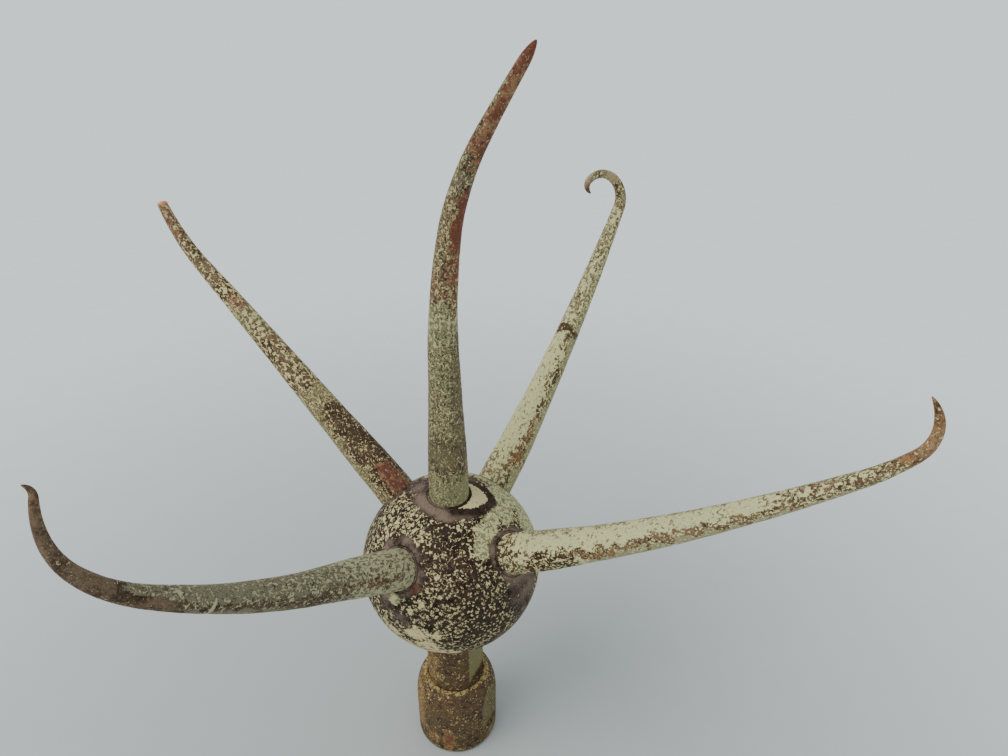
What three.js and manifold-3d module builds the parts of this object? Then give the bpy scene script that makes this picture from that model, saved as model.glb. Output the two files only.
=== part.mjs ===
// Roof finial: a solid ball that carries five tapered prongs, bent by use, on a neck that plugs
// into a coupler. The coupler's blind bore, in its underside, takes the rod on the roof.
// Millimetres, +Z up. The origin is the middle of the coupler's underside, on its axis, and the
// front of the object faces -Y.
import * as THREE from "three";
import { mergeVertices } from "three/addons/utils/BufferGeometryUtils.js";
import Module from "manifold-3d";

// Sizes that several pieces share
const gap = 0.3; // clearance between two pieces that touch
const ballRadius = 38.1; // a three-inch ball
const ballHeight = 113; // the ball's centre above the underside
const flatsAzimuth = 65; // the way the spanner flats of neck and coupler face

// Prongs
const prongRootRadius = 8.1;
const prongRootSwell = 0.3; // fullness beyond a straight taper, just above the root
const prongSwellLength = 40;
const prongRootEdge = 0.6; // rounding of the root's rim
const prongSides = 14;
const prongStep = 13; // the longest step along a prong, in millimetres
const prongTurnStep = 14; // the sharpest bend in one step, in degrees
const pointStations = [0, 0.35, 0.65, 0.87]; // where a point has rings, as parts of its length
const seatDistance = 37; // from the ball's centre to the flat seat under a prong

// Azimuth 0 faces the front and 90 the right. A bend is [length, turn up, roll of its plane], with
// the angles in degrees, and the bends follow each other from the root. A prong tapers in a
// straight line to endRadius, and its last `point` millimetres close to a point, or it is broken off.
const prongs = [
  {
    name: "prong_top", azimuth: 65, elevation: 90, endRadius: 1.6, point: 7,
    bends: [[65, 0, 0], [42, -9, 0], [38, -21, 0], [32, -3, 0]],
  },
  {
    name: "prong_front_left", azimuth: 324, elevation: 33, endRadius: 0.8, point: 6,
    bends: [[42, -2, 0], [68, 16, 0], [21, 19, 0], [25, 41, 0], [5, -66, 0]],
  },
  {
    name: "prong_front_right", azimuth: 57, elevation: 34, endRadius: 1.0, point: 9,
    bends: [[58, 4, 0], [82, 7, 0], [15, 11, 0], [19, 80, 0]],
  },
  {
    name: "prong_back_left", azimuth: 237, elevation: 40, endRadius: 2.15, point: 0,
    bends: [[14, -3, 0], [56, 1, 0], [63, -2, 0], [33, 30, 0]],
  },
  {
    name: "prong_back_right", azimuth: 145, elevation: 34, endRadius: 1.4, point: 8,
    bends: [[26, 7, 0], [117, 12, 0], [30, 160, -30], [7, 118, 0]],
  },
];

// Neck
const neckRadius = 13.3;
const neckFlats = 22.6; // across its two spanner flats, which end level with the coupler's top
const neckPlugDepth = 4; // how deep it sits in the coupler's mouth
const neckSeatDistance = 35.4; // from the ball's centre to the flat seat above the neck
const neckEdge = 0.8; // chamfer at the neck's foot

// Coupler
const couplerRadius = 19.5;
const couplerHeight = 40;
const mouthRadius = neckRadius + gap;
const rimRadius = 15.4; // where the flat top ends and the sloping shoulder starts
const shoulderHeight = 15;
const shoulderTurn = 60; // the shoulder is this much of a quarter ellipse, in degrees
const footEdge = 1.5; // rounding of the lower edge
const boreRadius = 11;
const boreDepth = 29;
const boreChamfer = 1.2;
const couplerFlats = 36.2; // across its two spanner flats
const couplerFlatFoot = 10; // the flats end this far above the underside

const copperAlloy = { metalness: 0.35, roughness: 0.7 };
const radians = THREE.MathUtils.degToRad;
const wasm = await Module();
wasm.setup();

// A closed geometry as a solid that can be joined and cut
function solid(geometry) {
  const bare = geometry.index ? geometry.clone() : mergeVertices(geometry);
  bare.deleteAttribute("normal");
  bare.deleteAttribute("uv");
  const merged = mergeVertices(bare, 1e-4);
  return new wasm.Manifold(new wasm.Mesh({
    numProp: 3,
    vertProperties: new Float32Array(merged.attributes.position.array),
    triVerts: new Uint32Array(merged.index.array),
  }));
}

// A named mesh of a solid, with its own material
function piece(name, body, colour) {
  const { numProp, vertProperties, triVerts } = body.getMesh();
  const geometry = new THREE.BufferGeometry();
  geometry.setAttribute("position", new THREE.BufferAttribute(new Float32Array(vertProperties), numProp));
  geometry.setIndex(new THREE.BufferAttribute(new Uint32Array(triVerts), 1));
  geometry.computeVertexNormals();
  const mesh = new THREE.Mesh(geometry, new THREE.MeshStandardMaterial({ color: colour, ...copperAlloy }));
  mesh.name = name;
  return mesh;
}

// The direction of an azimuth and an elevation
function heading(azimuth, elevation) {
  const a = radians(azimuth);
  const e = radians(elevation);
  return new THREE.Vector3(Math.sin(a) * Math.cos(e), -Math.cos(a) * Math.cos(e), Math.sin(e));
}

// A lathe body turned about the Z axis, from points of [radius, height]
function turned(points, segments) {
  const profile = points.map(([radius, height]) => new THREE.Vector2(radius, height));
  return new THREE.LatheGeometry(profile, segments).rotateX(Math.PI / 2);
}

// Points of an ellipse's arc from [r0, z0] to [r1, z1], leaving r0, z0 along the Z axis
function ellipseArc([r0, z0], [r1, z1], steps, turn = 90) {
  const whole = radians(turn);
  return Array.from({ length: steps + 1 }, (_, i) => {
    const angle = whole * (i / steps);
    const inwards = (1 - Math.cos(angle)) / (1 - Math.cos(whole));
    return [r0 + (r1 - r0) * inwards, z0 + (z1 - z0) * (Math.sin(angle) / Math.sin(whole))];
  });
}

// The frames along a prong's centre line, one for each step, from its root to its end
function centreLine({ azimuth, elevation, bends }) {
  const along = heading(azimuth, elevation);
  const up = heading(azimuth, elevation + 90);
  const place = along.clone().multiplyScalar(seatDistance + gap).add(new THREE.Vector3(0, 0, ballHeight));
  const frames = [];
  let travelled = 0;
  const note = () => frames.push({ travelled, place: place.clone(), along: along.clone(), up: up.clone() });
  note();
  for (const [length, turn, roll] of bends) {
    up.applyAxisAngle(along, radians(roll));
    const side = new THREE.Vector3().crossVectors(along, up);
    const steps = Math.ceil(Math.max(length / prongStep, Math.abs(turn) / prongTurnStep));
    for (let i = 0; i < steps; i += 1) {
      const half = radians(turn / steps / 2);
      along.applyAxisAngle(side, half);
      up.applyAxisAngle(side, half);
      place.addScaledVector(along, length / steps);
      along.applyAxisAngle(side, half);
      up.applyAxisAngle(side, half);
      travelled += length / steps;
      note();
    }
  }
  return frames;
}

// A prong's radius at a distance from its root
function prongRadius({ endRadius, point }, travelled, whole) {
  const taper = prongRootRadius + (endRadius - prongRootRadius) * (travelled / whole);
  const swell = prongRootSwell * Math.sin(Math.PI * Math.min(travelled / prongSwellLength, 1));
  const intoPoint = point > 0 ? Math.max(0, (travelled - whole + point) / point) : 0;
  return (taper + swell) * (1 - intoPoint ** 2);
}

// A prong: a turned profile whose stations are laid on the bent centre line
function prongBody(prong) {
  const frames = centreLine(prong);
  const whole = frames.at(-1).travelled;
  const shaft = frames.map(({ travelled }) => travelled).filter((travelled) => travelled <= whole - prong.point);
  const stations = [prongRootEdge, ...shaft.slice(1)];
  if (prong.point > 0) {
    stations.push(...pointStations.map((part) => whole - prong.point * (1 - part)));
  }
  const points = [new THREE.Vector2(0, 0), new THREE.Vector2(prongRootRadius - prongRootEdge, 0)];
  for (const travelled of stations) {
    points.push(new THREE.Vector2(prongRadius(prong, travelled, whole), travelled));
  }
  points.push(new THREE.Vector2(0, whole));
  const geometry = new THREE.LatheGeometry(points, prongSides);
  const vertices = geometry.attributes.position;
  for (let i = 0; i < vertices.count; i += 1) {
    const travelled = vertices.getY(i);
    const next = Math.max(1, frames.findIndex((frame) => frame.travelled >= travelled - 1e-3));
    const [before, after] = [frames[next - 1], frames[next]];
    const part = (travelled - before.travelled) / (after.travelled - before.travelled);
    const along = before.along.clone().lerp(after.along, part).normalize();
    const up = before.up.clone().lerp(after.up, part).normalize();
    const side = new THREE.Vector3().crossVectors(along, up);
    const spot = before.place.clone().lerp(after.place, part)
      .addScaledVector(side, vertices.getX(i))
      .addScaledVector(up, vertices.getZ(i));
    vertices.setXYZ(i, spot.x, spot.y, spot.z);
  }
  return solid(geometry);
}

// The two slabs outside a pair of flats, to be cut away between two heights
function outsideFlats(across, low, high) {
  const depth = ballRadius;
  return [0, 180].map((side) => {
    const slab = new THREE.BoxGeometry(2 * ballRadius, depth, high - low);
    slab.translate(0, -(across + depth) / 2, (low + high) / 2);
    slab.rotateZ(radians(flatsAzimuth + side));
    return solid(slab);
  });
}

function ballBody() {
  const sphere = new THREE.SphereGeometry(ballRadius, 44, 22).rotateX(Math.PI / 2);
  let body = solid(sphere.translate(0, 0, ballHeight));
  const seats = prongs.map(({ azimuth, elevation }) => [heading(azimuth, elevation), seatDistance]);
  seats.push([new THREE.Vector3(0, 0, -1), neckSeatDistance]);
  for (const [direction, distance] of seats) {
    const cutter = new THREE.CylinderGeometry(ballRadius / 2, ballRadius / 2, ballRadius, 12);
    cutter.translate(0, distance + ballRadius / 2, 0);
    const turn = new THREE.Quaternion().setFromUnitVectors(new THREE.Vector3(0, 1, 0), direction);
    cutter.applyQuaternion(turn).translate(0, 0, ballHeight);
    body = body.subtract(solid(cutter));
  }
  return body;
}

function neckBody() {
  const foot = couplerHeight - neckPlugDepth + gap;
  const top = ballHeight - neckSeatDistance - gap;
  const profile = [[0, foot], [neckRadius - neckEdge, foot], [neckRadius, foot + neckEdge], [neckRadius, top], [0, top]];
  let body = solid(turned(profile, 36));
  for (const slab of outsideFlats(neckFlats, couplerHeight, ballHeight)) {
    body = body.subtract(slab);
  }
  return body;
}

function couplerBody() {
  const mouthFloor = couplerHeight - neckPlugDepth;
  const profile = [
    [0, boreDepth],
    [boreRadius, boreDepth],
    [boreRadius, boreChamfer],
    [boreRadius + boreChamfer, 0],
    [couplerRadius - footEdge, 0],
    ...ellipseArc([couplerRadius, footEdge], [couplerRadius - footEdge, 0], 3).reverse().slice(1),
    ...ellipseArc([couplerRadius, couplerHeight - shoulderHeight], [rimRadius, couplerHeight], 6, shoulderTurn),
    [mouthRadius, couplerHeight],
    [mouthRadius, mouthFloor],
    [0, mouthFloor],
  ];
  let body = solid(turned(profile, 40));
  for (const slab of outsideFlats(couplerFlats, couplerFlatFoot, ballHeight)) {
    body = body.subtract(slab);
  }
  return body;
}

const finial = new THREE.Group();
finial.name = "roof_finial";
finial.add(piece("ball", ballBody(), 0x5d5142));
for (const prong of prongs) {
  finial.add(piece(prong.name, prongBody(prong), 0x8f8b6a));
}
finial.add(piece("neck", neckBody(), 0x6b5138));
finial.add(piece("coupler", couplerBody(), 0x6b4f3a));

export default finial;
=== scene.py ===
# The looks of the roof finial: a ball with five bent prongs on a neck and a coupler.
# Metres, +Z up, in the frame of the solids. Shapes are made in millimetres, and MM turns them to metres.
import math

import bmesh
import bpy
from mathutils import Matrix, Vector, noise


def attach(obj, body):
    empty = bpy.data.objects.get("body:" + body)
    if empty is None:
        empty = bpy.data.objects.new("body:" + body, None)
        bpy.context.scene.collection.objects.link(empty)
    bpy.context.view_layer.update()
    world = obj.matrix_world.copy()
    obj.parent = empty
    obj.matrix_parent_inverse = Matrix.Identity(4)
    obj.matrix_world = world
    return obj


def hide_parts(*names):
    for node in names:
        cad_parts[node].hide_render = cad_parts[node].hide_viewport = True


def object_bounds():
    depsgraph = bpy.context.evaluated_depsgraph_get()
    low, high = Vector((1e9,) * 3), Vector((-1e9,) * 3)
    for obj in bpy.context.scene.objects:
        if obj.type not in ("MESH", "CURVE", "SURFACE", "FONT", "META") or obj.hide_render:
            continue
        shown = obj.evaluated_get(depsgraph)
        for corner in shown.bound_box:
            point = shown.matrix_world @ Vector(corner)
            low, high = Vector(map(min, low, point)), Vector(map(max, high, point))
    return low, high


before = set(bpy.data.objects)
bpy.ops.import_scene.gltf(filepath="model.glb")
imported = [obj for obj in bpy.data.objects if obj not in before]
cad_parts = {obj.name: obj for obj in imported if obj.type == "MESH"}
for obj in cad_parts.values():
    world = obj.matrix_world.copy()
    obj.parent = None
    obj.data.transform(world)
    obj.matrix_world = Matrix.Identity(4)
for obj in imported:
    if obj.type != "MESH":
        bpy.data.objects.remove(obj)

MM = 0.001
cad_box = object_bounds()

# Sizes of the solids, in millimetres
GAP = 0.3
BALL_RADIUS = 38.1
BALL_HEIGHT = 113.0
BALL_CENTRE = Vector((0, 0, BALL_HEIGHT))
SEAT_DISTANCE = 37.0
SEAT_LIP = 0.12
SEAT_RECESS = 0.4
NECK_SEAT_DISTANCE = 35.4
NECK_RADIUS = 13.3
NECK_EDGE = 0.8
NECK_FLATS = 22.6
NECK_FOOT = 36.3
NECK_TOP = BALL_HEIGHT - NECK_SEAT_DISTANCE - GAP
COUPLER_RADIUS = 19.5
COUPLER_HEIGHT = 40.0
COUPLER_FLATS = 36.2
COUPLER_FLAT_FOOT = 10.0
COUPLER_FLAT_FADE = 2.5
COUPLER_RIM_RADIUS = 15.4
COUPLER_SHOULDER = 15.0
SHOULDER_TURN = 60.0
FOOT_EDGE = 1.5
MOUTH_RADIUS = NECK_RADIUS + GAP
MOUTH_FLOOR = 36.0
BORE_RADIUS = 11.0
BORE_DEPTH = 29.0
BORE_CHAMFER = 1.2
FLATS_AZIMUTH = 65.0

# Prongs, in millimetres and degrees. Azimuth 0 faces the front and 90 the right, and a bend is
# (length, turn up, roll of its plane). The skin keeps to the solids but for its relief, and its root
# reaches into the recess of the ball's seat.
SKIN = 0.03
ROOT_RADIUS = 8.1
ROOT_SWELL = 0.3
SWELL_LENGTH = 40.0
ROOT_EDGE = 0.35
ROOT_FOOT = -0.6
BROKEN_END = 1.1
TIP_POWER = 0.65
PRONGS = {
    "prong_top": {
        "azimuth": 65, "elevation": 90, "end_radius": 1.6, "point": 7,
        "bends": [(65, 0, 0), (42, -9, 0), (38, -21, 0), (32, -3, 0)],
    },
    "prong_front_left": {
        "azimuth": 324, "elevation": 33, "end_radius": 0.8, "point": 6,
        "bends": [(42, -2, 0), (68, 16, 0), (21, 19, 0), (25, 41, 0), (5, -66, 0)],
    },
    "prong_front_right": {
        "azimuth": 57, "elevation": 34, "end_radius": 1.0, "point": 9,
        "bends": [(58, 4, 0), (82, 7, 0), (15, 11, 0), (19, 80, 0)],
    },
    "prong_back_left": {
        "azimuth": 237, "elevation": 40, "end_radius": 2.15, "point": 0,
        "bends": [(14, -3, 0), (56, 1, 0), (63, -2, 0), (33, 30, 0)],
    },
    "prong_back_right": {
        "azimuth": 145, "elevation": 34, "end_radius": 1.4, "point": 8,
        "bends": [(26, 7, 0), (117, 12, 0), (30, 160, -30), (7, 118, 0)],
    },
}

# Camera: where it stands from the ball's centre, in ball radii, how far it looks down, and its lens
CAMERA_PLACE = (0.573, -5.837, 6.012)
CAMERA_DOWN = 31.52
CAMERA_ROLL = 0.65
FRAME_WIDTH = 1008
FOCAL_PIXELS = 712
SENSOR_WIDTH = 36.0

# Masks that the paint functions give each vertex
MASKS = ("cover", "film", "stain", "halo", "fine", "bare")


# Small helpers

def smooth(low, high, value):
    """0 below low and 1 above high, with an even rise between them."""
    part = min(1.0, max(0.0, (value - low) / (high - low)))
    return part * part * (3 - 2 * part)


def band(value, low, high, soft):
    """1 between low and high, fading over soft at both ends."""
    return smooth(low - soft, low + soft, value) * (1 - smooth(high - soft, high + soft, value))


def heading(azimuth, elevation):
    """The direction of an azimuth and an elevation, in degrees."""
    a, e = math.radians(azimuth), math.radians(elevation)
    return Vector((math.sin(a) * math.cos(e), -math.cos(a) * math.cos(e), math.sin(e)))


def srgb(red, green, blue):
    """A colour given as it looks on a screen, 0 to 255, as a shader colour."""
    parts = [channel / 255 for channel in (red, green, blue)]
    return (*[p / 12.92 if p <= 0.04045 else ((p + 0.055) / 1.055) ** 2.4 for p in parts], 1.0)


def rough(point, size, seed=0.0):
    """Noise from -1 to 1 with features of that size, in millimetres."""
    return noise.noise(point / size + Vector((seed, 2.3 * seed, -seed)))


# Shapes

def stations(start, end, step):
    """Evenly spaced values from start to end, no further apart than step."""
    count = max(1, math.ceil(abs(end - start) / step))
    return [start + (end - start) * i / count for i in range(count + 1)]


def fine(profile, step):
    """The profile with points added so that none are further apart than step."""
    out = [profile[0]]
    for (r0, z0), (r1, z1) in zip(profile, profile[1:]):
        for part in stations(0, 1, step / max(step, math.hypot(r1 - r0, z1 - z0)))[1:]:
            out.append((r0 + (r1 - r0) * part, z0 + (z1 - z0) * part))
    return out


def ellipse_arc(start, end, count, turn=90.0):
    """Part of a quarter ellipse that leaves start along the axis, turn degrees long."""
    (r0, z0), (r1, z1) = start, end
    whole = math.radians(turn)
    angles = [whole * i / count for i in range(count + 1)]
    inwards = [(1 - math.cos(a)) / (1 - math.cos(whole)) for a in angles]
    return [(r0 + (r1 - r0) * part, z0 + (z1 - z0) * math.sin(a) / math.sin(whole))
            for part, a in zip(inwards, angles)]


def revolve(profile, sides):
    """A closed body of revolution about the Z axis, in millimetres."""
    bm = bmesh.new()
    verts = [bm.verts.new((radius, 0, height)) for radius, height in profile]
    edges = [bm.edges.new(pair) for pair in zip(verts, verts[1:])]
    bmesh.ops.spin(bm, geom=verts + edges, cent=(0, 0, 0), axis=(0, 0, 1), angle=math.tau, steps=sides,
                   use_merge=True)
    bmesh.ops.remove_doubles(bm, verts=bm.verts, dist=1e-4)
    bmesh.ops.recalc_face_normals(bm, faces=bm.faces)
    return bm


class CentreLine:
    """A prong's bent centre line, as arcs that follow each other."""

    def __init__(self, azimuth, elevation, bends):
        along, up = heading(azimuth, elevation), heading(azimuth, elevation + 90)
        place = BALL_CENTRE + along * (SEAT_DISTANCE + GAP)
        self.arcs = []
        self.frames = {}
        self.length = 0.0
        for length, turn, roll in bends:
            up = Matrix.Rotation(math.radians(roll), 3, along) @ up
            self.arcs.append((self.length, length, math.radians(turn), place, along, up))
            self.length += length
            place, along, up = self.at(self.length)

    def at(self, travelled):
        """The place, direction and upward side at a distance from the root."""
        reached = [arc for arc in self.arcs if arc[0] <= travelled or arc[0] == 0]
        start, length, turn, place, along, up = reached[-1]
        part = travelled - start
        angle = turn * part / length
        if abs(turn) < 1e-6:
            return place + along * part, along, up
        radius = length / turn
        spot = place + along * (radius * math.sin(angle)) + up * (radius * (1 - math.cos(angle)))
        onwards = along * math.cos(angle) + up * math.sin(angle)
        return spot, onwards, up * math.cos(angle) - along * math.sin(angle)

    def lay(self, rest, normal):
        """Where a point of the straight prong lies once it is bent, and its normal there."""
        travelled = round(min(max(rest.z, 0.0), self.length), 5)
        beyond = rest.z - travelled
        if travelled not in self.frames:
            place, along, up = self.at(travelled)
            self.frames[travelled] = place, along, up, along.cross(up)
        place, along, up, side = self.frames[travelled]
        turned = side * normal.x + up * normal.y + along * normal.z
        return place + side * rest.x + up * rest.y + along * beyond, turned


def prong_radius(spec, whole, travelled):
    """The skin's radius at a distance from the root."""
    taper = ROOT_RADIUS + (spec["end_radius"] - ROOT_RADIUS) * travelled / whole
    swell = ROOT_SWELL * math.sin(math.pi * min(max(travelled, 0.0) / SWELL_LENGTH, 1))
    into = max(0.0, (travelled - whole + spec["point"]) / spec["point"]) if spec["point"] else 0.0
    return (taper + swell) * (1 - into ** 2) ** TIP_POWER


def prong_shape(spec, whole):
    """The straight prong, along +Z from its root, ready to be bent."""
    end = whole - (0.3 if spec["point"] else SKIN)
    heights = stations(ROOT_FOOT + ROOT_EDGE, end, 0.5)
    side = [(max(0.0, prong_radius(spec, whole, height) - SKIN), height) for height in heights]
    edge = ellipse_arc(side[0], (side[0][0] - ROOT_EDGE, ROOT_FOOT), 4)
    foot = fine([(0, ROOT_FOOT), edge[-1]], 1.5) + edge[-2:0:-1]
    if spec["point"]:
        side.append((0, whole - 0.2))
    else:
        side = [(radius, height) for radius, height in side if height < whole - BROKEN_END - 0.1]
        side += ellipse_arc((side[-1][0], whole - BROKEN_END), (0.7, whole - 0.06), 6)
        side.append((0, whole - 0.3))
    return revolve(foot + side, 72)


def cut_seat(bm, direction, distance, lip, recess):
    """Cuts a round flat off the ball and gives it a fine groove, a raised lip and a recess."""
    whole = bm.verts[:] + bm.edges[:] + bm.faces[:]
    cut = bmesh.ops.bisect_plane(bm, geom=whole, dist=1e-4, plane_co=BALL_CENTRE + direction * distance,
                                 plane_no=direction, clear_outer=True)
    rim = [edge for edge in cut["geom_cut"] if isinstance(edge, bmesh.types.BMEdge)]
    bmesh.ops.remove_doubles(bm, verts=list({vert for edge in rim for vert in edge.verts}), dist=0.15)
    rim = [edge for edge in bm.edges if edge.is_boundary]
    floor = bmesh.ops.contextual_create(bm, geom=rim)["faces"]
    bmesh.ops.recalc_face_normals(bm, faces=bm.faces)
    groove = 0.12
    insets = ((0.06, -groove), (0.06, 0.0), (0.08, groove + lip), (0.62, 0.0), (0.06, -lip - recess))
    for thickness, depth in insets:
        bmesh.ops.inset_region(bm, faces=floor, thickness=thickness, depth=depth, use_even_offset=True,
                               use_boundary=True)


def ball_shape():
    bm = bmesh.new()
    bmesh.ops.create_uvsphere(bm, u_segments=300, v_segments=150, radius=BALL_RADIUS)
    bmesh.ops.translate(bm, verts=bm.verts, vec=BALL_CENTRE)
    for spec in PRONGS.values():
        cut_seat(bm, heading(spec["azimuth"], spec["elevation"]), SEAT_DISTANCE, SEAT_LIP, SEAT_RECESS)
    cut_seat(bm, Vector((0, 0, -1)), NECK_SEAT_DISTANCE, 0.0, 0.05)
    return bm


def neck_shape():
    side = NECK_RADIUS - 0.05
    foot = [(0, NECK_FOOT), (NECK_RADIUS - NECK_EDGE, NECK_FOOT), (side, NECK_FOOT + NECK_EDGE)]
    flats_foot = [(side, COUPLER_HEIGHT - 0.05), (side, COUPLER_HEIGHT + 0.1)]
    bm = revolve(fine(foot + flats_foot + [(side, NECK_TOP), (0, NECK_TOP)], 0.5), 160)
    press_flats(bm, NECK_FLATS / 2, lambda height: float(height > COUPLER_HEIGHT))
    return bm


def coupler_shape():
    inner = fine([(0, BORE_DEPTH), (BORE_RADIUS, BORE_DEPTH)], 2.0)
    bore = fine([(BORE_RADIUS, BORE_DEPTH), (BORE_RADIUS, BORE_CHAMFER)], 0.3)
    ring = COUPLER_RADIUS - FOOT_EDGE
    foot = fine([(BORE_RADIUS, BORE_CHAMFER), (BORE_RADIUS + BORE_CHAMFER, 0), (ring, 0)], 0.6)
    edge = ellipse_arc((COUPLER_RADIUS, FOOT_EDGE), (ring, 0), 5)[::-1]
    shoulder = ellipse_arc((COUPLER_RADIUS, COUPLER_HEIGHT - COUPLER_SHOULDER),
                           (COUPLER_RIM_RADIUS, COUPLER_HEIGHT), 34, SHOULDER_TURN)
    wall = fine([edge[-1], shoulder[0]], 0.45)
    mouth = [(MOUTH_RADIUS, COUPLER_HEIGHT), (MOUTH_RADIUS, MOUTH_FLOOR), (0, MOUTH_FLOOR)]
    top = fine([shoulder[-1]] + mouth, 0.5)
    bm = revolve(inner + bore[1:] + foot[1:] + edge[1:] + wall[1:] + shoulder[1:] + top[1:], 200)
    fade = COUPLER_FLAT_FOOT - COUPLER_FLAT_FADE
    press_flats(bm, COUPLER_FLATS / 2, lambda height: smooth(fade, COUPLER_FLAT_FOOT, height))
    return bm


def press_flats(bm, half, depth_at):
    """Presses two spanner flats into a round body, as deep at each height as depth_at says."""
    facing = heading(FLATS_AZIMUTH, 0)
    for vert in bm.verts:
        out = vert.co.dot(facing)
        past = abs(out) - half
        if past > 0 and vert.co.xy.length > MOUTH_RADIUS * 0.9:
            vert.co -= facing * math.copysign(past * depth_at(vert.co.z), out)


# Paint: each function gives one vertex its masks, and those of the ball, neck and coupler also how far
# the skin sinks there, in millimetres. cover is the share of flaky pale crust, film a thin grey-green
# bloom, stain rust, halo smooth bare oxide, fine a finer grain of the crust, and bare bright metal.
# rest is the vertex before a prong is bent, and s its distance from the root.

def plain(cover, film, stain, halo, fine_grain=0.0):
    """The masks that a piece starts with."""
    return {"cover": cover, "film": film, "stain": stain, "halo": halo, "fine": fine_grain, "bare": 0.0}


def touch(masks, weight, **target):
    """Moves the named masks towards their targets, by the weight."""
    for mask, value in target.items():
        masks[mask] += (value - masks[mask]) * weight


def zone(direction, azimuth, elevation, size, soft=7.0, ragged=3.0):
    """1 within size degrees of a direction, with a ragged edge."""
    cosine = direction.dot(heading(azimuth, elevation))
    angle = math.degrees(math.acos(max(-1.0, min(1.0, cosine))))
    angle += ragged * (noise.noise(direction * 6) + 0.6 * noise.noise(direction * 17))
    return 1 - smooth(size - soft / 2, size + soft / 2, angle)


def zones(direction, places, soft=7.0, ragged=3.0):
    """1 within any of the zones, each an azimuth, an elevation and a size."""
    return max(zone(direction, *place, soft, ragged) for place in places)


# Zones of the ball, each (azimuth, elevation, size), all in degrees
SAGE_ZONES = (
    (119, 40, 19), (97, 31, 14), (137, 44, 16), (108, 56, 9), (84, 54, 9), (72, 60, 6), (58, 59, 6),
    (45, 54, 7), (33, 47, 6), (38, 50, 6), (200, 20, 22), (265, 5, 16), (185, 62, 14), (110, -12, 14),
    (14, -58, 9), (-30, -52, 7),
)
CREAM_ZONES = (
    (-19, -6, 7), (-5, -4, 4), (-12, -20, 8), (-38, -13, 6), (-4, -34, 12), (-55, -25, 9), (-28, -30, 9),
)
SMOOTH_ZONES = (
    (52, 14, 11), (58, 2, 12), (62, -12, 10), (36, -26, 7), (-28, 4, 5), (-37, 8, 5), (55, -30, 12),
    (160, 5, 10), (240, 68, 9),
)
# How far smooth metal reaches round a root, in degrees from the middle of its seat
HALO_REACH = {"prong_top": 22.0, "prong_front_left": 18.5, "prong_front_right": 16.5}
OTHER_HALO_REACH = 18.0
SEAT_RIM = 13.6
TOP_SEAT_RIM = 76.2
CRESCENT_AZIMUTH = 88


def paint_ball(rest, normal):
    direction = (rest - BALL_CENTRE).normalized()
    azimuth = math.degrees(math.atan2(direction.x, -direction.y))
    elevation = math.degrees(math.asin(max(-1.0, min(1.0, direction.z))))
    wander = noise.noise(direction * 2.6)
    masks = plain(0.5 + 0.1 * wander, 0.15 * max(0.0, wander), 0.1, 0.1)
    touch(masks, zone(direction, -8, 63, 7, 8), cover=0.3)
    touch(masks, zones(direction, ((2, 48, 12), (14, 32, 10)), 10), cover=0.42)
    touch(masks, zone(direction, -62, 58, 20, 12), cover=0.56)
    touch(masks, zone(direction, 12, -6, 34, 20), cover=0.5, fine=1.0, film=0.0)
    touch(masks, zone(direction, 22, 2, 10, 8), cover=0.42)
    touch(masks, zones(direction, SAGE_ZONES, 5), cover=0.68, film=0.8)
    touch(masks, 0.9 * zone(direction, 66, 43, 5, 5), cover=0.42, film=0.2)
    touch(masks, zones(direction, CREAM_ZONES, 5), cover=0.72, film=0.25)
    touch(masks, zones(direction, SMOOTH_ZONES, 8), cover=0.2, film=0.05, halo=0.75)
    for node, spec in PRONGS.items():
        seat = heading(spec["azimuth"], spec["elevation"])
        away = math.degrees(math.acos(max(-1.0, min(1.0, direction.dot(seat)))))
        reach = HALO_REACH.get(node, OTHER_HALO_REACH) + 4 * noise.noise(direction * 5)
        reach += 3 * noise.noise(direction * 13)
        touch(masks, 1 - smooth(reach - 2.0, reach + 2.5, away), cover=0.1, film=0.1, halo=1.0)
        touch(masks, 1 - smooth(SEAT_RIM - 0.2, SEAT_RIM, away), cover=0.2, film=0.2, halo=1.0)
        # painted shade: a thin dark line in the groove round each seat's rim, where the gap at the
        # prong's root lies in shadow
        painted_groove_shade = band(away, SEAT_RIM - 0.05, SEAT_RIM + 0.3, 0.08)
        touch(masks, painted_groove_shade, cover=0.0, film=0.0, halo=0.2, stain=0.0)
    # a cream crescent to the right of the upper root, with a band of painted shade below its edge,
    # standing in for the shadow at the step of a flat facet
    wide = 1 - abs(azimuth - CRESCENT_AZIMUTH) / (65 if azimuth < CRESCENT_AZIMUTH else 55)
    edge = TOP_SEAT_RIM - 11.0 * max(0.0, wide) + 0.7 * noise.noise(direction * 12)
    painted_step_shade = band(azimuth, 5, 150, 8) * smooth(-8, -4, elevation - edge)
    touch(masks, painted_step_shade, cover=0.05, film=0.0, halo=0.1)
    crescent = (wide > 0) * smooth(-0.4, 0.4, elevation - edge) * (elevation < TOP_SEAT_RIM)
    touch(masks, crescent, cover=1.0, halo=0.0, film=0.05)
    # single patches below the left root
    touch(masks, zone(direction, -33, 15, 3.2, 2, 3.0), cover=0.66, film=1.0, halo=0.0)
    touch(masks, zone(direction, -15, 18, 2.2, 1, 2.5), cover=0.8, film=0.3, halo=0.0)
    touch(masks, zone(direction, -21, 11, 2.0, 1, 1.0), cover=0.9, film=0.1, halo=0.0)
    # a warmer tone between the roots
    touch(masks, zone(direction, 0, 38, 18, 14), stain=0.32)
    touch(masks, 0.8 * zone(direction, -20, 26, 4.0, 4, 3), stain=1.0, cover=0.15, halo=0.3)
    sink = 0.05 * (1 - masks["cover"]) + 0.06 * abs(rough(rest, 9.0)) + 0.04 * abs(rough(rest, 2.2, 3.0))
    return masks, sink


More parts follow.
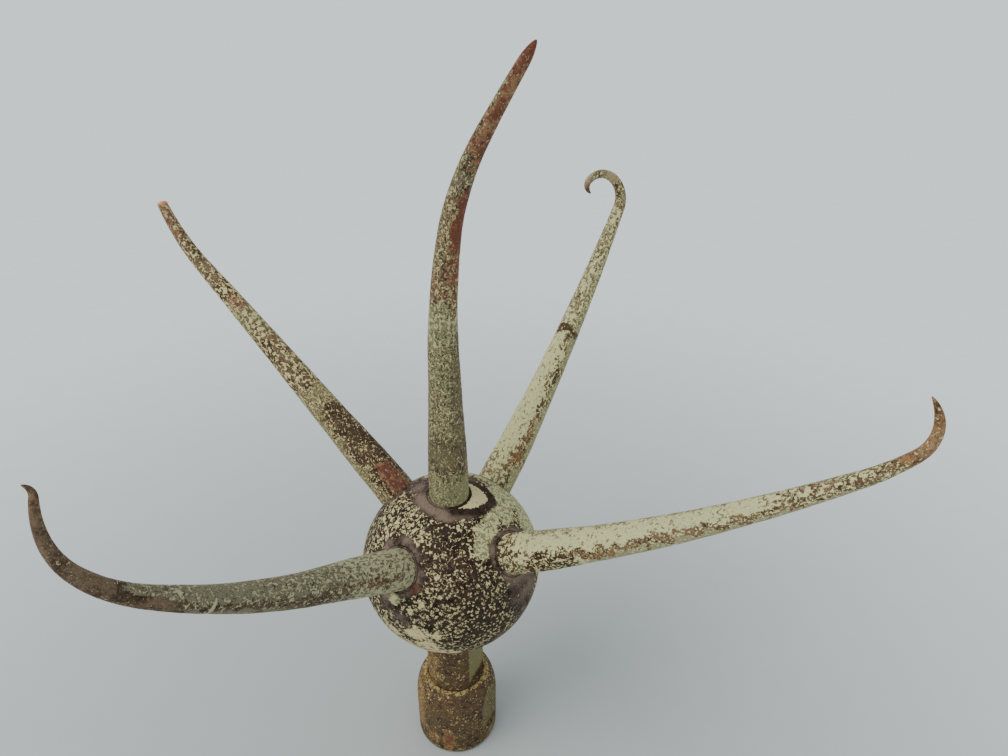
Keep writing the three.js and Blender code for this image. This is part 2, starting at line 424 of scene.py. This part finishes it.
def prong_relief(rest, whole):
    """How far a prong's skin sinks: forged unevenness and crust, less towards its thin end."""
    stretched = Vector((rest.x, rest.y, rest.z * 0.5))
    depth = 0.2 * abs(rough(stretched, 7.0)) + 0.1 * abs(rough(stretched, 2.0, 4.0))
    depth += 0.05 * abs(rough(rest, 0.9, 6.0))
    return (depth - 0.1) * (1 - 0.6 * smooth(0.6 * whole, whole, rest.z)) * smooth(ROOT_FOOT, 1.5, rest.z)


def fray(rest):
    """Unevenness of about -1 to 1, which makes an edge ragged when it is added to where the edge is."""
    return rough(rest, 6.0, 1.0) + 0.7 * rough(rest, 2.2, 7.0) + 0.4 * rough(rest, 1.0, 9.0)


def paint_prong_top(s, rest, normal, whole):
    ragged = fray(rest)
    right = normal.x + 0.45 * ragged
    masks = plain(0.53, 0.45, 0.08, 0.2, 0.6)
    touch(masks, 1 - smooth(11, 16, s + 4 * ragged), cover=0.5, film=0.55, halo=0.1)
    touch(masks, (1 - smooth(9, 14, s)) * smooth(0.3, 0.6, right), cover=0.45, film=0.95)
    touch(masks, band(s + 5 * ragged, 15, 31, 4), cover=0.42, film=0.2, halo=0.7)
    touch(masks, smooth(0.35, 0.7, right) * band(s, 28, 84, 8), cover=0.42, film=0.3, halo=0.6)
    touch(masks, band(s + 6 * ragged, 72, 99, 5), cover=0.6, film=0.6, fine=0.0)
    touch(masks, band(s + 6 * ragged, 86, 97, 3), stain=0.5, cover=0.5, film=0.35, fine=0.0)
    touch(masks, (1 - smooth(-0.1, 0.2, right)) * band(s, 97, 128, 4), cover=0.56, film=0.35, stain=0.42)
    rusty_side = smooth(-0.05, 0.2, right) * band(s + 4 * ragged, 97, 128, 3)
    touch(masks, rusty_side, stain=1.0, cover=0.3, film=0.1)
    touch(masks, smooth(-0.05, 0.2, right) * band(s, 97, 106, 3), cover=0.5, stain=0.8)
    touch(masks, band(s + 4 * ragged, 126, 136, 3), cover=0.5, film=0.25, halo=1.0, stain=0.1)
    touch(masks, smooth(133, 140, s + 5 * ragged), stain=0.7, cover=0.4, film=0.05, halo=0.2)
    touch(masks, smooth(140, 150, s) * smooth(0.4, 0.8, -right), cover=0.54, stain=0.35, film=0.3)
    touch(masks, smooth(158, 172, s), stain=0.72, cover=0.38, film=0.2)
    touch(masks, smooth(168, 172, s), stain=0.95, cover=0.3, film=0.1)
    return masks


def paint_prong_front_left(s, rest, normal, whole):
    ragged = fray(rest)
    under = normal.dot(heading(0, -45)) + 0.35 * ragged
    masks = plain(0.66, 0.6, 0.05, 0.0)
    touch(masks, smooth(24, 40, s + 6 * ragged), cover=0.5, film=0.6, fine=0.3, halo=0.3)
    touch(masks, smooth(0.0, 0.4, under) * smooth(25, 45, s), cover=0.42, film=0.3, stain=0.2)
    touch(masks, band(under, 0.1, 0.4, 0.08) * band(s, 8, 40, 4), stain=0.7, cover=0.45, film=0.4)
    touch(masks, band(s, 72, 97, 5) * smooth(0.15, -0.2, under), cover=0.42, film=0.85)
    touch(masks, smooth(0.55, 0.8, under) * band(s, 60, 97, 5), cover=0.4, film=0.7, stain=0.1)
    touch(masks, band(s + 0.5 * ragged, 88.2, 89.2, 0.3) * smooth(-0.5, 0.1, under), cover=0.9, film=0.6)
    brown = smooth(97, 103, s + 5 * ragged - 20 * smooth(0.35, -0.1, under))
    touch(masks, brown, stain=0.34, cover=0.2, film=0.15, halo=0.9, fine=1.0)
    touch(masks, zone(normal, -10, 25, 40, 20) * band(s, 111, 115, 2), stain=0.6, cover=0.5)
    touch(masks, smooth(150, 158, s), stain=0.5, cover=0.1, film=0.05, halo=0.5)
    return masks


def paint_prong_front_right(s, rest, normal, whole):
    ragged = fray(rest)
    under = normal.dot(heading(0, -45)) + 0.35 * ragged
    masks = plain(0.8, 0.58, 0.03, 0.4)
    touch(masks, 1 - smooth(7, 12, s + 3 * ragged), cover=0.56, film=0.15, halo=0.1)
    dark_patch = band(s + 5 * ragged, 11, 37, 2) * smooth(0.0, 0.2, under)
    touch(masks, dark_patch, cover=0.49, film=0.0, stain=0.05, halo=0.0)
    lower_side = band(under, 0.3, 0.78, 0.12) * band(s, 36, 154, 5)
    touch(masks, lower_side, cover=0.45, film=0.2, stain=0.22, fine=1.0)
    touch(masks, smooth(100, 130, s + 6 * ragged), cover=0.55, film=0.3, stain=0.2)
    touch(masks, band(under, 0.5, 0.75, 0.1) * band(s + 8 * ragged, 38, 54, 4), cover=0.4, stain=0.55)
    touch(masks, smooth(0.75, 0.9, under) * smooth(36, 44, s), cover=0.5, film=0.9, stain=0.0, fine=1.0)
    touch(masks, smooth(-0.75, -0.95, under) * band(s, 10, 150, 6), cover=0.5, film=0.45, fine=1.0)
    touch(masks, smooth(134, 150, s + 8 * ragged), cover=0.5, film=0.2, stain=0.35, halo=0.8, fine=1.0)
    touch(masks, smooth(152, 158, s + 4 * ragged), cover=0.36, film=0.1, stain=0.6, halo=1.0)
    touch(masks, smooth(166, 172, s), cover=0.15, film=0.0, stain=0.5, halo=0.3)
    return masks


def paint_prong_back_left(s, rest, normal, whole):
    ragged = fray(rest)
    right = normal.dot(heading(55, 25)) + 0.45 * ragged
    masks = plain(0.53, 0.2, 0.15, 0.7)
    tan_side = band(s, -20, 50, 4) * smooth(0.7, 0.1, right)
    touch(masks, tan_side, cover=0.5, film=0.5, fine=1.0, halo=0.9)
    dark_side = band(s, -20, 48, 4) * smooth(0.3, 0.7, right)
    touch(masks, dark_side, cover=0.36, film=0.05, halo=0.1, stain=0.15, fine=1.0)
    rusty_root = zone(normal, 40, 30, 34, 24) * band(s + 4 * ragged, -3, 13, 3)
    touch(masks, rusty_root, cover=0.3, stain=0.9, halo=0.3)
    touch(masks, band(s + 3 * ragged, 48, 60, 3), cover=0.56, film=0.5, fine=1.0)
    touch(masks, band(s, 92, 108, 5), cover=0.6, film=0.5)
    touch(masks, zone(normal, 20, 40, 45, 20) * band(s + 3 * ragged, 106, 113, 2), cover=0.5, stain=0.8)
    touch(masks, smooth(-0.3, -0.6, right) * band(s, 50, 150, 8), cover=0.62, film=0.6)
    touch(masks, smooth(140, 150, s + 6 * ragged), cover=0.46, film=0.35, stain=0.5)
    broken = smooth(whole - 2.4, whole - 1.2, s + 0.8 * rough(rest, 1.5))
    touch(masks, broken, bare=1.0, cover=0.0, stain=0.3)
    return masks


def paint_prong_back_right(s, rest, normal, whole):
    ragged = fray(rest)
    right = normal.dot(heading(70, -15)) + 0.45 * ragged
    masks = plain(0.8, 0.58, 0.03, 0.4)
    touch(masks, 1 - smooth(9, 14, s + 4 * ragged), cover=0.58, film=0.35)
    touch(masks, smooth(0.1, 0.4, right), cover=0.52, film=0.1, stain=0.15, halo=0.2)
    touch(masks, smooth(0.55, 0.8, right), cover=0.5, film=0.7, fine=1.0)
    rusty_streak = band(right, 0.35, 0.6, 0.08) * band(s + 4 * ragged, 5, 36, 3)
    touch(masks, rusty_streak, stain=0.65, cover=0.46, film=0.05)
    touch(masks, band(s + 3 * ragged, 78, 81, 1), cover=0.25, film=0.0, stain=0.0, halo=0.0)
    touch(masks, band(s, 84, 140, 6), cover=0.6, film=0.4, stain=0.2)
    touch(masks, smooth(136, 148, s + 4 * ragged), cover=0.44, film=0.2, stain=0.15, halo=1.0, fine=1.0)
    touch(masks, smooth(whole - 8, whole - 2, s), cover=0.1, film=0.0, stain=0.4, halo=0.2)
    return masks


def paint_neck(rest, normal):
    ragged = fray(rest)
    flat = smooth(0.9, 0.99, abs(normal.dot(heading(FLATS_AZIMUTH, 0))))
    cluster = rough(rest, 5.0, 3.0)
    masks = plain(0.24 + 0.16 * cluster, 0.05, 0.12, 0.5)
    left = smooth(0.25, 0.8, -normal.x + 0.4 * ragged) * (1 - flat)
    touch(masks, left, cover=0.34 + 0.2 * cluster, stain=0.55)
    touch(masks, flat, cover=0.2, film=0.8, stain=0.1, halo=0.0)
    # painted shade: each flat is darker towards its foot, where it meets the coupler's mouth and lies in
    # shadow
    touch(masks, flat * (1 - smooth(42, 47, rest.z + 2 * ragged)), film=0.2)
    touch(masks, smooth(66.4, 67.4, rest.z + 0.6 * ragged), cover=0.46, film=0.8, stain=0.05, halo=0.2)
    sink = 0.1 * abs(rough(rest, 3.0)) + 0.08 * abs(rough(rest, 1.2, 5.0))
    return masks, sink * (1 - 0.6 * flat)


def paint_coupler(rest, normal):
    ragged = fray(rest)
    radius = rest.xy.length
    outside = smooth(MOUTH_RADIUS - 0.5, MOUTH_RADIUS + 0.5, radius)
    flat = smooth(0.97, 0.995, abs(normal.dot(heading(FLATS_AZIMUTH, 0))))
    cluster = rough(rest, 5.0, 3.0)
    film = 0.1 + 0.3 * rough(rest, 8.0, 6.0)
    stain = 0.15 + 0.3 * rough(rest, 7.0, 8.0)
    masks = plain(0.24 + 0.18 * cluster, film, stain, 0.6)
    # the ochre deposit round the mouth, broken here and there
    ring = 1 - smooth(15.2, 15.8, radius + 0.5 * ragged)
    ring *= smooth(COUPLER_HEIGHT - 1.6, COUPLER_HEIGHT - 0.8, rest.z)
    ring *= smooth(-0.75, -0.45, rough(rest, 5.0, 2.0))
    streak = band(normal.dot(heading(-72, 0)), 0.92, 1.2, 0.04) * band(rest.z + 3 * ragged, 9, 38, 3)
    left = smooth(0.2, 0.8, -normal.x)
    touch(masks, left * smooth(26, 34, rest.z), cover=0.3 + 0.2 * cluster, stain=0.4)
    touch(masks, flat, film=0.5, halo=0.2, cover=0.26, stain=0.15)
    touch(masks, streak, stain=0.62, cover=0.4)
    red_patch = zone(normal, -8, 0, 7, 6, 2) * band(rest.z + 3 * ragged, 4, 16, 3)
    touch(masks, red_patch, stain=1.0, halo=0.6)
    pale_patch = zone(normal, -34, 0, 9, 8, 3) * band(rest.z + 3 * ragged, 4, 13, 3)
    touch(masks, pale_patch, stain=0.6, cover=0.42, film=0.1)
    dark_patch = zone(normal, 28, 0, 12, 8, 3) * band(rest.z, 2, 14, 4)
    touch(masks, dark_patch, cover=0.16, stain=0.0, halo=0.2, film=0.0)
    touch(masks, 1 - smooth(1.5, 4, rest.z + 1.5 * ragged), film=0.5, halo=0.7, cover=0.3)
    touch(masks, ring, cover=0.62, stain=0.5, halo=0.0, film=0.1)
    sink = outside * (0.14 * abs(rough(rest, 3.2)) + 0.1 * abs(rough(rest, 1.3, 5.0)) - 0.3 * ring)
    return masks, sink


PRONG_PAINT = {
    "prong_top": paint_prong_top,
    "prong_front_left": paint_prong_front_left,
    "prong_front_right": paint_prong_front_right,
    "prong_back_left": paint_prong_back_left,
    "prong_back_right": paint_prong_back_right,
}


# Shader nodes

def add(tree, kind, inputs=None, **settings):
    """A node with its settings, and its inputs linked to a socket or set to a value."""
    node = tree.nodes.new(kind)
    for key, value in settings.items():
        setattr(node, key, value)
    for key, value in (inputs or {}).items():
        if isinstance(value, bpy.types.NodeSocket):
            tree.links.new(value, node.inputs[key])
        else:
            node.inputs[key].default_value = value
    return node


def calc(tree, operation, *values):
    """A math node's result."""
    return add(tree, "ShaderNodeMath", dict(enumerate(values)), operation=operation).outputs[0]


def ramp(tree, value, low, high):
    """0 to 1 as value goes from low to high, with an even rise."""
    inputs = {"Value": value, "From Min": low, "From Max": high}
    return add(tree, "ShaderNodeMapRange", inputs, interpolation_type="SMOOTHSTEP").outputs["Result"]


def blend(tree, part, first, second):
    """A colour between first and second."""
    node = add(tree, "ShaderNodeMix", data_type="RGBA")
    sockets = {"Factor": node.inputs[0], "A": node.inputs[6], "B": node.inputs[7]}
    for key, value in (("Factor", part), ("A", first), ("B", second)):
        if isinstance(value, bpy.types.NodeSocket):
            tree.links.new(value, sockets[key])
        else:
            sockets[key].default_value = value
    return node.outputs[2]


def cloud(tree, vector, scale, detail=2.0, roughness=0.5, distortion=0.0):
    """Noise from 0 to 1, about 0.5."""
    inputs = {"Vector": vector, "Scale": scale, "Detail": detail, "Roughness": roughness,
              "Distortion": distortion}
    return add(tree, "ShaderNodeTexNoise", inputs).outputs["Fac"]


# The colours of a patina. These are the ball's, and the other pieces replace some of them.
OXIDE = {
    "Dark": srgb(24, 15, 8), "Warm Dark": srgb(56, 38, 26), "Film Colour": srgb(150, 144, 108),
    "Sage": srgb(202, 199, 146), "Cream": srgb(220, 204, 152), "Rust": srgb(118, 84, 66),
    "Deep Rust": srgb(92, 60, 48), "Haze": srgb(86, 71, 62), "Warm Haze": srgb(132, 113, 98),
}
AMOUNTS = ("Cover", "Film", "Stain", "Halo", "Fine", "Flake Scale", "Specks", "Gaps", "Pebbles")


def patina_group():
    """Dark oxide under a grey-green film, rust and a broken pale crust, where the masks say."""
    group = bpy.data.node_groups.new("patina", "ShaderNodeTree")
    face = group.interface
    face.new_socket("Vector", in_out="INPUT", socket_type="NodeSocketVector")
    for name in AMOUNTS:
        face.new_socket(name, in_out="INPUT", socket_type="NodeSocketFloat")
    for name in OXIDE:
        face.new_socket(name, in_out="INPUT", socket_type="NodeSocketColor")
    face.new_socket("Color", in_out="OUTPUT", socket_type="NodeSocketColor")
    for name in ("Roughness", "Height"):
        face.new_socket(name, in_out="OUTPUT", socket_type="NodeSocketFloat")
    given = add(group, "NodeGroupInput").outputs
    vector, scale = given["Vector"], given["Flake Scale"]
    broad = cloud(group, vector, 130.0, 3.0)
    tone = cloud(group, vector, 450.0, 4.0, 0.6)
    bloom = cloud(group, vector, 1100.0, 4.0, 0.7)
    coarse = cloud(group, vector, scale, 1.3, 0.5, 0.8)
    small = cloud(group, vector, calc(group, "MULTIPLY", scale, 1.7), 1.3, 0.5, 0.8)
    rounds = calc(group, "SUBTRACT", pebbles(group, vector, calc(group, "MULTIPLY", scale, 0.85)), small)
    small = calc(group, "MULTIPLY_ADD", rounds, given["Pebbles"], small)
    chips = cloud(group, vector, calc(group, "MULTIPLY", scale, 2.7), 2.0, 0.6, 0.4)
    grain = cloud(group, vector, 2900.0, 2.0, 0.7)
    flakes = calc(group, "MULTIPLY_ADD", calc(group, "SUBTRACT", small, coarse), given["Fine"], coarse)
    # the crust shows where the noise passes a threshold that falls as the cover grows, and thin gaps
    # part it into flakes where it isn't closed
    covered = calc(group, "MULTIPLY_ADD", given["Cover"], 0.5, -0.35)
    spread = calc(group, "MULTIPLY_ADD", chips, 0.2, covered)
    open_crust = calc(group, "SUBTRACT", 1.0, ramp(group, given["Cover"], 0.55, 0.8))
    gaps = calc(group, "MULTIPLY", gap_lines(group, vector, scale), open_crust)
    gaps = calc(group, "MULTIPLY", gaps, given["Gaps"])
    field = calc(group, "SUBTRACT", calc(group, "ADD", flakes, spread), gaps)
    crust = ramp(group, field, 0.49, 0.52)
    heart = ramp(group, field, 0.52, 0.6)
    # shade is painted shade: a dark rim just outside each flake, as if the raised crust cast a shadow
    # round it
    shade = calc(group, "MAXIMUM", calc(group, "SUBTRACT", ramp(group, field, 0.42, 0.49), crust), 0.0)
    oxide = blend(group, ramp(group, tone, 0.36, 0.62), given["Dark"], given["Warm Dark"])
    hue = calc(group, "MULTIPLY_ADD", bloom, 0.5, calc(group, "MULTIPLY_ADD", broad, 0.8, -0.15))
    haze = blend(group, ramp(group, hue, 0.4, 0.6), given["Haze"], given["Warm Haze"])
    smooth_metal = ramp(group, calc(group, "ADD", broad, tone), 0.7, 1.0)
    oxide = blend(group, calc(group, "MULTIPLY", given["Halo"], smooth_metal), oxide, haze)
    veil = ramp(group, calc(group, "MULTIPLY_ADD", given["Film"], 0.5, bloom), 0.66, 0.8)
    ground = blend(group, calc(group, "MULTIPLY", veil, 0.92), oxide, given["Film Colour"])
    # a heavy stain is deep rust, and a light one the paler rust
    depth = calc(group, "MULTIPLY_ADD", given["Stain"], -0.4, calc(group, "ADD", tone, 0.28))
    rust = blend(group, ramp(group, depth, 0.4, 0.62), given["Deep Rust"], given["Rust"])
    rusty = ramp(group, calc(group, "MULTIPLY_ADD", given["Stain"], 0.5, bloom), 0.68, 0.82)
    ground = blend(group, rusty, ground, rust)
    # the painted shade round the flakes darkens the ground there
    ground = blend(group, calc(group, "MULTIPLY", shade, 0.6), ground, given["Dark"])
    tint = calc(group, "MULTIPLY_ADD", broad, 0.8, calc(group, "SUBTRACT", given["Film"], 0.4))
    pale = blend(group, ramp(group, tint, 0.3, 0.7), given["Cream"], given["Sage"])
    pale = blend(group, heart, blend(group, 0.5, given["Film Colour"], pale), pale)
    pale = blend(group, calc(group, "MULTIPLY", rusty, 0.35), pale, rust)
    colour = blend(group, crust, ground, pale)
    speck = calc(group, "MULTIPLY", ramp(group, chips, 0.58, 0.65), given["Specks"])
    colour = blend(group, speck, colour, given["Dark"])
    pits = calc(group, "MULTIPLY", ramp(group, grain, 0.5, 0.75), 0.35)
    colour = blend(group, pits, colour, given["Dark"])
    roughness = calc(group, "MULTIPLY_ADD", crust, 0.2, calc(group, "MULTIPLY_ADD", grain, 0.3, 0.52))
    height = calc(group, "MULTIPLY_ADD", heart, 0.4, calc(group, "MULTIPLY_ADD", tone, 0.6, crust))
    height = calc(group, "SUBTRACT", calc(group, "MULTIPLY_ADD", grain, 0.35, height), speck)
    add(group, "NodeGroupOutput", {"Color": colour, "Roughness": roughness, "Height": height})
    return group


def pebbles(tree, vector, scale):
    """Rounded spots like noise about 0.5, highest in their middles."""
    inputs = {"Vector": vector, "Scale": scale}
    distance = add(tree, "ShaderNodeTexVoronoi", inputs, feature="F1").outputs["Distance"]
    return calc(tree, "MULTIPLY_ADD", distance, -0.45, 0.73)


def gap_lines(tree, vector, scale):
    """1 along the edges of bent cells a little smaller than the flakes, and 0 inside them."""
    inputs = {"Vector": vector, "Scale": scale, "Detail": 1.0}
    swirl = add(tree, "ShaderNodeTexNoise", inputs).outputs["Color"]
    inputs = {0: swirl, 1: (0.5, 0.5, 0.5)}
    middle = add(tree, "ShaderNodeVectorMath", inputs, operation="SUBTRACT").outputs[0]
    inputs = {0: middle, "Scale": calc(tree, "DIVIDE", 1.2, scale)}
    shift = add(tree, "ShaderNodeVectorMath", inputs, operation="SCALE").outputs[0]
    bent = add(tree, "ShaderNodeVectorMath", {0: vector, 1: shift}, operation="ADD").outputs[0]
    inputs = {"Vector": bent, "Scale": calc(tree, "MULTIPLY", scale, 1.15)}
    distance = add(tree, "ShaderNodeTexVoronoi", inputs, feature="DISTANCE_TO_EDGE").outputs["Distance"]
    return calc(tree, "SUBTRACT", 1.0, ramp(tree, distance, 0.02, 0.16))


def patina(name, group, flake_scale=700.0, specks=0.3, gaps=0.08, pebbly=0.0, bare=False, **colours):
    """A patina with this piece's own colours. bare shows bright metal where the mask says."""
    material = bpy.data.materials.new(name)
    material.use_nodes = True
    tree = material.node_tree
    shader = tree.nodes["Principled BSDF"]
    shader.inputs["Specular IOR Level"].default_value = 0.18
    node = add(tree, "ShaderNodeGroup", node_tree=group)
    for mask in MASKS[:5]:
        attribute = add(tree, "ShaderNodeAttribute", attribute_name=mask)
        tree.links.new(attribute.outputs["Fac"], node.inputs[mask.title()])
    attribute = add(tree, "ShaderNodeAttribute", attribute_name="grain")
    tree.links.new(attribute.outputs["Vector"], node.inputs["Vector"])
    amounts = {"Flake Scale": flake_scale, "Specks": specks, "Gaps": gaps, "Pebbles": pebbly}
    for key, value in {**amounts, **OXIDE, **colours}.items():
        node.inputs[key].default_value = value
    colour, roughness = node.outputs["Color"], node.outputs["Roughness"]
    if bare:
        mask = add(tree, "ShaderNodeAttribute", attribute_name="bare").outputs["Fac"]
        colour = blend(tree, mask, colour, srgb(226, 160, 122))
        tree.links.new(mask, shader.inputs["Metallic"])
    tree.links.new(colour, shader.inputs["Base Color"])
    tree.links.new(roughness, shader.inputs["Roughness"])
    inputs = {"Height": node.outputs["Height"], "Strength": 0.8, "Distance": 0.00016}
    bump = add(tree, "ShaderNodeBump", inputs)
    tree.links.new(bump.outputs["Normal"], shader.inputs["Normal"])
    return material


# Pieces

# An edge that turns more than this, in degrees, is shaded sharp
SHARP_ANGLE = 38


def make_piece(name, node, bm, paint, material, lay=None, lengthwise=1.0):
    """Paints a body's vertices, lays them where they belong and makes the piece that stands for the
    node. lengthwise below 1 draws the grain out along the body."""
    bm.normal_update()
    masks = {mask: [] for mask in MASKS}
    grain = []
    for vert in bm.verts:
        rest = vert.co.copy()
        spot, normal = lay(rest, vert.normal) if lay else (rest, vert.normal.copy())
        values, sink = paint(rest, normal)
        for mask in MASKS:
            masks[mask].append(values[mask])
        grain.extend(Vector((rest.x, rest.y, rest.z * lengthwise)) * MM)
        vert.co = (spot - normal * sink) * MM
        vert.co = Vector(min(max(value, low), high) for value, low, high in zip(vert.co, *cad_box))
    mesh = bpy.data.meshes.new(name)
    bm.to_mesh(mesh)
    bm.free()
    for mask, values in masks.items():
        mesh.attributes.new(mask, "FLOAT", "POINT").data.foreach_set("value", values)
    mesh.attributes.new("grain", "FLOAT_VECTOR", "POINT").data.foreach_set("vector", grain)
    mesh.shade_smooth()
    mesh.set_sharp_from_angle(angle=math.radians(SHARP_ANGLE))
    mesh.materials.append(material)
    piece = bpy.data.objects.new(name, mesh)
    bpy.context.scene.collection.objects.link(piece)
    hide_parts(node)
    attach(piece, "root")


def make_prong(node, spec, material):
    line = CentreLine(spec["azimuth"], spec["elevation"], spec["bends"])

    def paint(rest, normal):
        return PRONG_PAINT[node](rest.z, rest, normal, line.length), prong_relief(rest, line.length)

    body = prong_shape(spec, line.length)
    make_piece(f"finial_{node}", node, body, paint, material, line.lay, lengthwise=0.8)


# Stage

def make_floor():
    """A wide plain sheet of pale paper, with painted shade that makes it darker round the foot and
    lighter further out.
    """
    bm = bmesh.new()
    bmesh.ops.create_grid(bm, x_segments=1, y_segments=1, size=30.0)
    material = bpy.data.materials.new("plain_paper")
    material.use_nodes = True
    tree = material.node_tree
    shader = tree.nodes["Principled BSDF"]
    shader.inputs["Roughness"].default_value = 0.9
    shader.inputs["Specular IOR Level"].default_value = 0.1
    place = add(tree, "ShaderNodeTexCoord").outputs["Object"]
    distance = add(tree, "ShaderNodeVectorMath", {0: place}, operation="LENGTH").outputs["Value"]
    # painted shade and light: the paper is darker round the object's foot and lighter further out, in
    # place of the shade round the object and the brighter sheet beyond
    colour = blend(tree, ramp(tree, distance, 0.02, 0.6), srgb(188, 193, 191), srgb(244, 248, 249))
    mottle = cloud(tree, place, 60.0, 3.0)
    mottle = calc(tree, "MULTIPLY", ramp(tree, mottle, 0.3, 0.8), 0.04)
    colour = blend(tree, mottle, colour, srgb(150, 158, 160))
    tree.links.new(colour, shader.inputs["Base Color"])
    mesh = bpy.data.meshes.new("floor")
    bm.to_mesh(mesh)
    bm.free()
    mesh.materials.append(material)
    floor = bpy.data.objects.new("floor", mesh)
    bpy.context.scene.collection.objects.link(floor)
    floor.location = (0, 0, -0.0002)


def make_key():
    """A broad, soft light from the upper left, a little in front."""
    light = bpy.data.lights.new("key", "SUN")
    light.energy = 1.5
    light.angle = math.radians(40)
    light.color = (1.0, 0.98, 0.95)
    lamp = bpy.data.objects.new("key", light)
    lamp.rotation_euler = (-heading(-60, 52)).to_track_quat("-Z", "Y").to_euler()
    bpy.context.scene.collection.objects.link(lamp)


def make_camera():
    camera = bpy.data.cameras.new("camera")
    camera.sensor_fit = "HORIZONTAL"
    camera.sensor_width = SENSOR_WIDTH
    camera.lens = SENSOR_WIDTH * FOCAL_PIXELS / FRAME_WIDTH
    camera.clip_start = 0.01
    holder = bpy.data.objects.new("camera", camera)
    place = Vector(CAMERA_PLACE) * BALL_RADIUS * MM + Vector((0, 0, BALL_HEIGHT * MM))
    tilt = Matrix.Rotation(math.radians(90 - CAMERA_DOWN), 4, "X")
    roll = Matrix.Rotation(math.radians(CAMERA_ROLL), 4, "Z")
    holder.matrix_world = Matrix.Translation(place) @ tilt @ roll
    bpy.context.scene.collection.objects.link(holder)
    bpy.context.scene.camera = holder


def make_world():
    world = bpy.data.worlds.new("soft_daylight")
    world.use_nodes = True
    background = world.node_tree.nodes["Background"]
    background.inputs["Color"].default_value = srgb(228, 236, 240)
    background.inputs["Strength"].default_value = 0.86
    bpy.context.scene.world = world


make_camera()
make_world()
make_key()
make_floor()
group = patina_group()
BROWN = {
    "Dark": srgb(44, 32, 20), "Warm Dark": srgb(98, 76, 54), "Film Colour": srgb(136, 128, 84),
    "Sage": srgb(172, 172, 134), "Cream": srgb(204, 180, 124), "Rust": srgb(160, 126, 72),
    "Deep Rust": srgb(118, 78, 58), "Haze": srgb(88, 68, 58), "Warm Haze": srgb(110, 88, 60),
}
make_piece("finial_ball", "ball", ball_shape(), paint_ball,
           patina("ball_patina", group, 760.0, 0.35, 0.1, pebbly=0.75))
PRONG_FINISH = {
    "prong_top": patina("top_patina", group, 850.0, 0.4, **{
        "Dark": srgb(46, 35, 25), "Warm Dark": srgb(86, 70, 50), "Film Colour": srgb(146, 142, 104),
        "Sage": srgb(190, 186, 138), "Cream": srgb(200, 186, 136), "Rust": srgb(152, 112, 80),
        "Deep Rust": srgb(112, 64, 48), "Haze": srgb(104, 92, 78), "Warm Haze": srgb(126, 114, 82)}),
    "prong_front_left": patina("front_left_patina", group, 850.0, 0.4, 0.04, **{
        "Dark": srgb(48, 36, 26), "Warm Dark": srgb(88, 70, 50), "Film Colour": srgb(130, 125, 100),
        "Sage": srgb(180, 177, 137), "Cream": srgb(186, 178, 138), "Rust": srgb(132, 104, 76),
        "Deep Rust": srgb(98, 66, 46), "Haze": srgb(74, 56, 42), "Warm Haze": srgb(122, 102, 80)}),
    "prong_front_right": patina("front_right_patina", group, 800.0, 0.3, **{
        "Dark": srgb(50, 35, 22), "Warm Dark": srgb(92, 66, 44), "Film Colour": srgb(172, 166, 126),
        "Sage": srgb(204, 202, 148), "Cream": srgb(217, 210, 156), "Rust": srgb(158, 116, 78),
        "Deep Rust": srgb(122, 86, 56), "Haze": srgb(122, 98, 68), "Warm Haze": srgb(182, 146, 112)}),
    "prong_back_left": patina("back_left_patina", group, 740.0, 0.3, 0.06, bare=True, **{
        "Dark": srgb(42, 30, 22), "Warm Dark": srgb(78, 58, 43), "Film Colour": srgb(142, 134, 98),
        "Sage": srgb(180, 174, 122), "Cream": srgb(220, 202, 146), "Rust": srgb(160, 118, 88),
        "Deep Rust": srgb(112, 68, 54), "Haze": srgb(88, 68, 52), "Warm Haze": srgb(142, 120, 88)}),
    "prong_back_right": patina("back_right_patina", group, 800.0, 0.3, 0.06, **{
        "Dark": srgb(54, 40, 26), "Warm Dark": srgb(96, 74, 50), "Film Colour": srgb(162, 156, 114),
        "Sage": srgb(204, 202, 148), "Cream": srgb(214, 207, 153), "Rust": srgb(156, 112, 74),
        "Deep Rust": srgb(116, 76, 48), "Haze": srgb(124, 104, 76), "Warm Haze": srgb(184, 160, 122)}),
}
for node, spec in PRONGS.items():
    make_prong(node, spec, PRONG_FINISH[node])
make_piece("finial_neck", "neck", neck_shape(), paint_neck,
           patina("neck_patina", group, 1000.0, 0.5, 0.0, **BROWN))
make_piece("finial_coupler", "coupler", coupler_shape(), paint_coupler,
           patina("coupler_patina", group, 1000.0, 0.5, 0.0, **BROWN))
